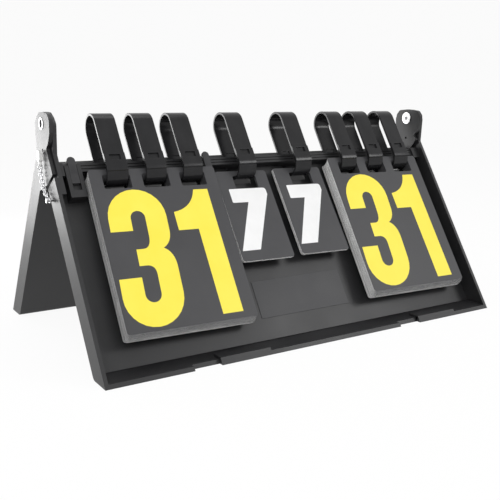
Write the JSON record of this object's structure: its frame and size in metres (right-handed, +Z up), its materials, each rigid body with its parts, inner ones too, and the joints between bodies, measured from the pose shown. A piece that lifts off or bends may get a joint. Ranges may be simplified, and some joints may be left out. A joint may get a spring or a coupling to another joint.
{
  "type": "tabletop flip scoreboard",
  "caption": "Folding tabletop scoreboard: two hinged tray-shaped plastic shells stand as an A and carry packs of number cards on strap rings.",
  "frame": {"origin": "middle of the footprint, on the table", "axes": "+X to the right along the hinge as seen from the card side, +Y from the card side to the rear shell, +Z up"},
  "size_m": [0.3908, 0.227, 0.1835],
  "materials": {
    "shell": "fine satin grain",
    "ring": "smooth black straps",
    "rivet": "bright plated",
    "post": "satin",
    "name_plate": "smooth and blank",
    "card": "printed dark grey with plain numerals, pale edges",
    "peg": "bright plated",
    "chain": "bright",
    "clasp": "white"
  },
  "bodies": {
    "front": {"front_shell": "shell", "left_rivet": "rivet", "ring_1": "ring", "ring_2": "ring", "ring_3": "ring", "ring_4": "ring", "ring_5": "ring", "ring_6": "ring", "ring_7": "ring", "ring_8": "ring", "left_post": "post", "middle_post": "post", "name_plate": "name_plate", "left_score_cards": "card", "left_set_cards": "card", "right_set_cards": "card", "right_score_cards": "card", "chain_peg": "peg"},
    "back": {"back_shell": "shell", "right_rivet": "rivet"},
    "left_score_top": {"left_score_top_card": "card"},
    "left_set_top": {"left_set_top_card": "card"},
    "right_set_top": {"right_set_top_card": "card"},
    "right_score_top": {"right_score_top_card": "card"},
    "chain": {"chain_links": "chain", "chain_clasp": "clasp"}
  },
  "joints": [
    {"name": "shell_hinge", "type": "hinge", "parent": "front", "child": "back", "pos_m": [0, 0, 0.17478], "axis": [-1, 0, 0], "range_deg": [-293, 0]},
    {"name": "left_score_flip", "type": "hinge", "parent": "front", "child": "left_score_top", "pos_m": [0, -0.01449, 0.13649], "axis": [-1, 0, 0], "range_deg": [0, 80]},
    {"name": "left_set_flip", "type": "hinge", "parent": "front", "child": "left_set_top", "pos_m": [0, -0.01449, 0.13649], "axis": [-1, 0, 0], "range_deg": [0, 80]},
    {"name": "right_set_flip", "type": "hinge", "parent": "front", "child": "right_set_top", "pos_m": [0, -0.01449, 0.13649], "axis": [-1, 0, 0], "range_deg": [0, 80]},
    {"name": "right_score_flip", "type": "hinge", "parent": "front", "child": "right_score_top", "pos_m": [0, -0.01449, 0.13649], "axis": [-1, 0, 0], "range_deg": [0, 80]},
    {"name": "chain_swing", "type": "hinge", "parent": "front", "child": "chain", "pos_m": [-0.1941, -0.01985, 0.11851], "axis": [1, 0, 0], "range_deg": [-150, 20]}
  ]
}
